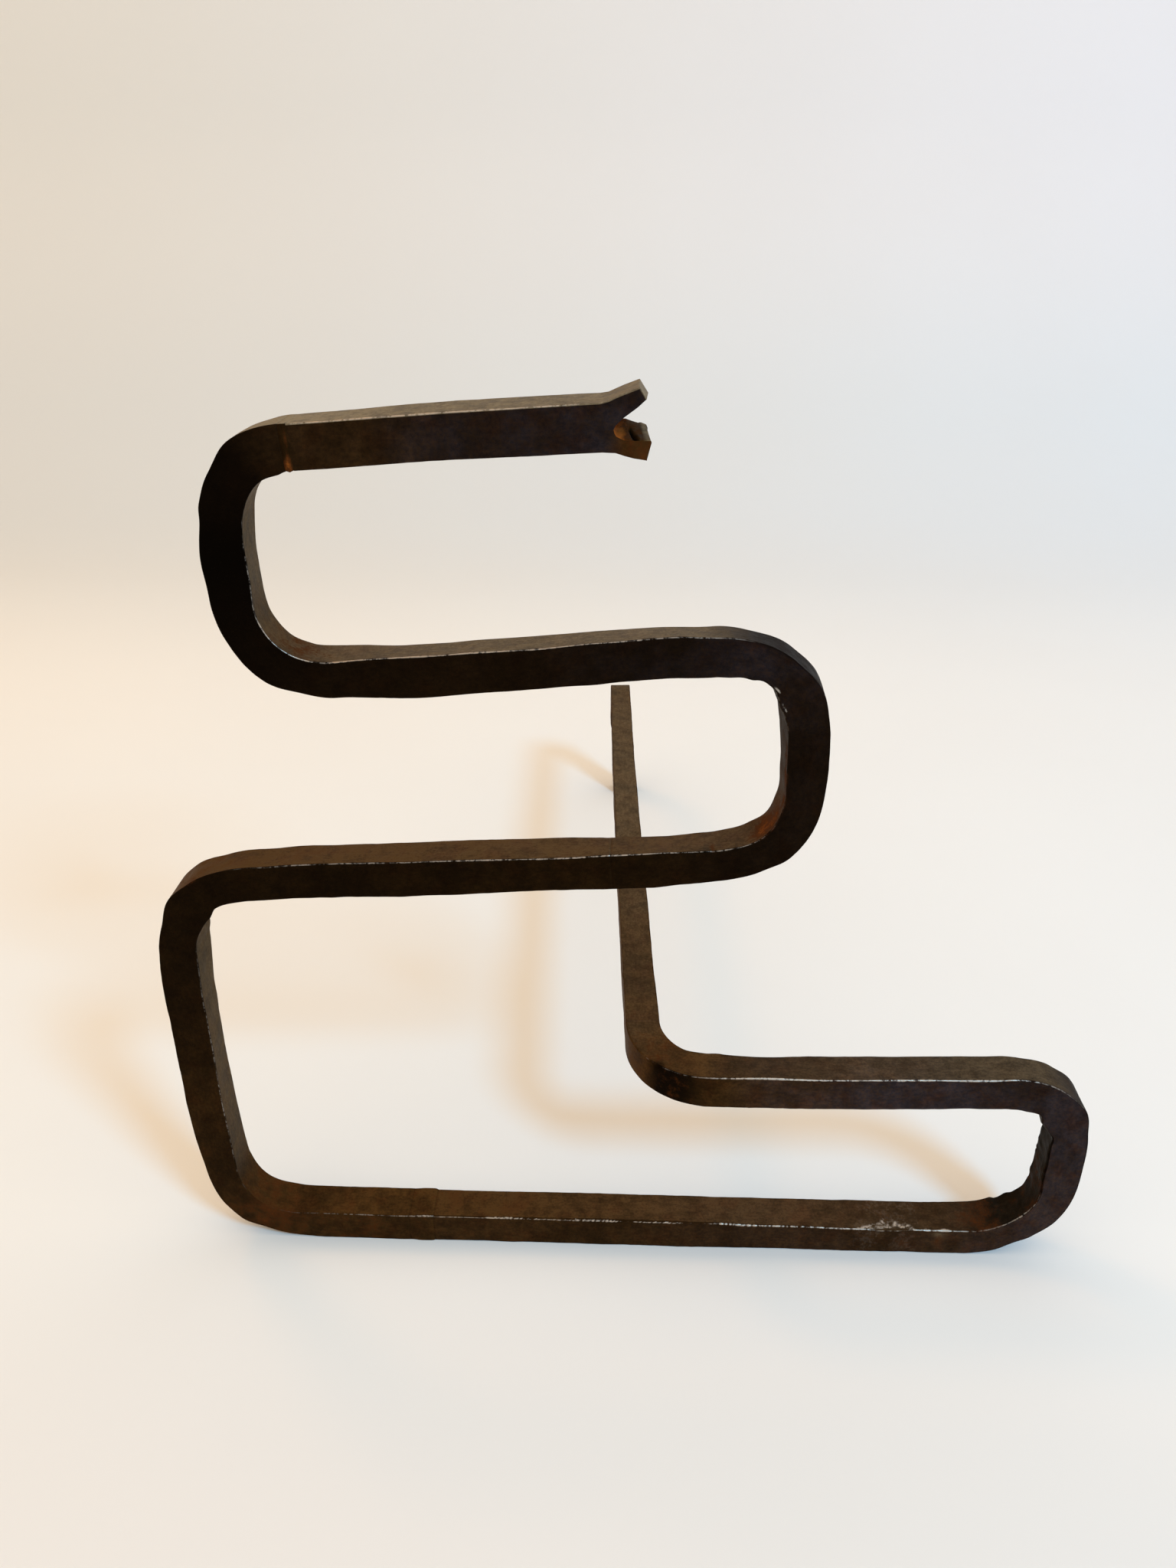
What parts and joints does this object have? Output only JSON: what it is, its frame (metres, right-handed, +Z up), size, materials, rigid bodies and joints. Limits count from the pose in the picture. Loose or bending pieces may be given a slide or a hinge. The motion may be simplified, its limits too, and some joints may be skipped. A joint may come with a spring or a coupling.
{
  "type": "serpent andiron",
  "caption": "Forged serpent andiron: square bar coiled upright in front under split jaws, its tail turned back as the log bar and bent down into a rear leg.",
  "frame": {"origin": "on the hearth, under the middle of the base bar and halfway through its depth", "axes": "+X to the right seen from the front of the fireplace, +Y to the back along the log bar, +Z up"},
  "size_m": [0.4151, 0.4886, 0.4038],
  "materials": {
    "black_iron": "fire-blackened, waxed, with worn edges",
    "brown_iron": "brown-black with rust in the bends and worn edges",
    "dry_iron": "dry grey-brown, dull",
    "weld_iron": "rough, rusted"
  },
  "bodies": {
    "root": {"head_bar": "black_iron", "head_weld": "weld_iron", "upper_coil": "black_iron", "lower_coil": "brown_iron", "base_weld": "weld_iron", "tail_coil": "brown_iron", "log_bar_leg": "dry_iron"}
  },
  "joints": []
}
